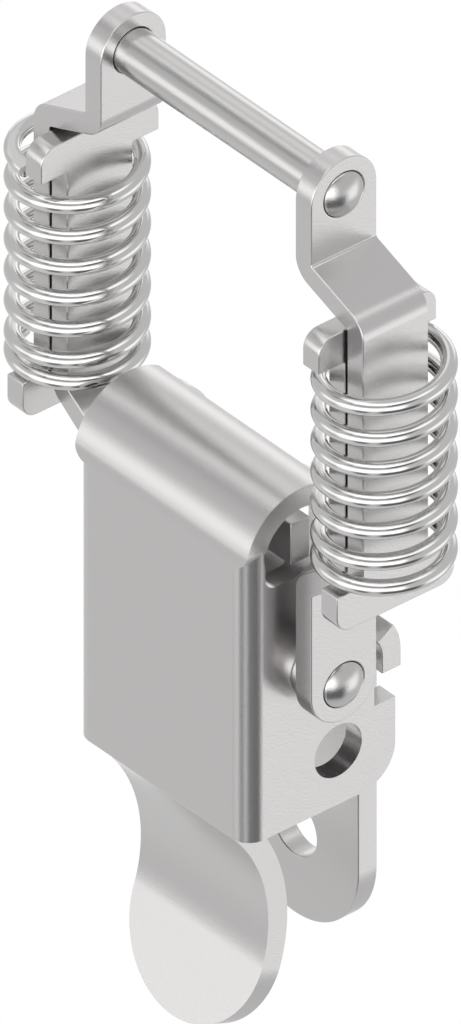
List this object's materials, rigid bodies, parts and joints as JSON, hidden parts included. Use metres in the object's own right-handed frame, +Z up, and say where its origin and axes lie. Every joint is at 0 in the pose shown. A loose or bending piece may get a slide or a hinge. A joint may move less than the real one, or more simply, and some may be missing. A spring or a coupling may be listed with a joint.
{
  "type": "over centre toggle latch",
  "caption": "Over centre toggle latch: a folded lever on a bent base plate pulls a sprung bail down onto a keeper, with padlock holes through the lever.",
  "frame": {"origin": "centre of the screw hole on the base plate's mounting face", "axes": "+X across the latch to the right hand of someone who faces its front, +Y into the surface that it is fixed to, +Z up along the pull"},
  "size_m": [0.0505, 0.0162, 0.0898],
  "materials": {
    "sheet_steel": "satin stainless steel sheet",
    "bar_steel": "satin stainless steel bar",
    "spring_steel": "bright stainless spring wire"
  },
  "bodies": {
    "base": {"base_plate": "sheet_steel"},
    "lever": {"lever": "sheet_steel"},
    "draw_links": {"lever_pin": "bar_steel", "spacer_washer_left": "bar_steel", "spacer_washer_right": "bar_steel", "lower_strap_left": "sheet_steel", "lower_strap_right": "sheet_steel", "spring_left": "spring_steel", "spring_right": "spring_steel"},
    "bail": {"upper_strap_left": "sheet_steel", "upper_strap_right": "sheet_steel", "cross_bar": "bar_steel"}
  },
  "joints": [
    {"name": "lever_hinge", "type": "hinge", "parent": "base", "child": "lever", "pos_m": [0, -0.01035, 0.037], "axis": [-1, 0, 0], "range_deg": [0, 95]},
    {"name": "bail_swing", "type": "hinge", "parent": "lever", "child": "draw_links", "pos_m": [0, -0.0087, 0.0245], "axis": [1, 0, 0], "range_deg": [-3, 180]},
    {"name": "spring_travel", "type": "slide", "parent": "draw_links", "child": "bail", "axis": [0, 0, 1], "range_m": [0, 0.006], "stiffness_N_per_m": 11500, "springref_m": -0.002, "deforming": ["spring_left", "spring_right"]}
  ]
}
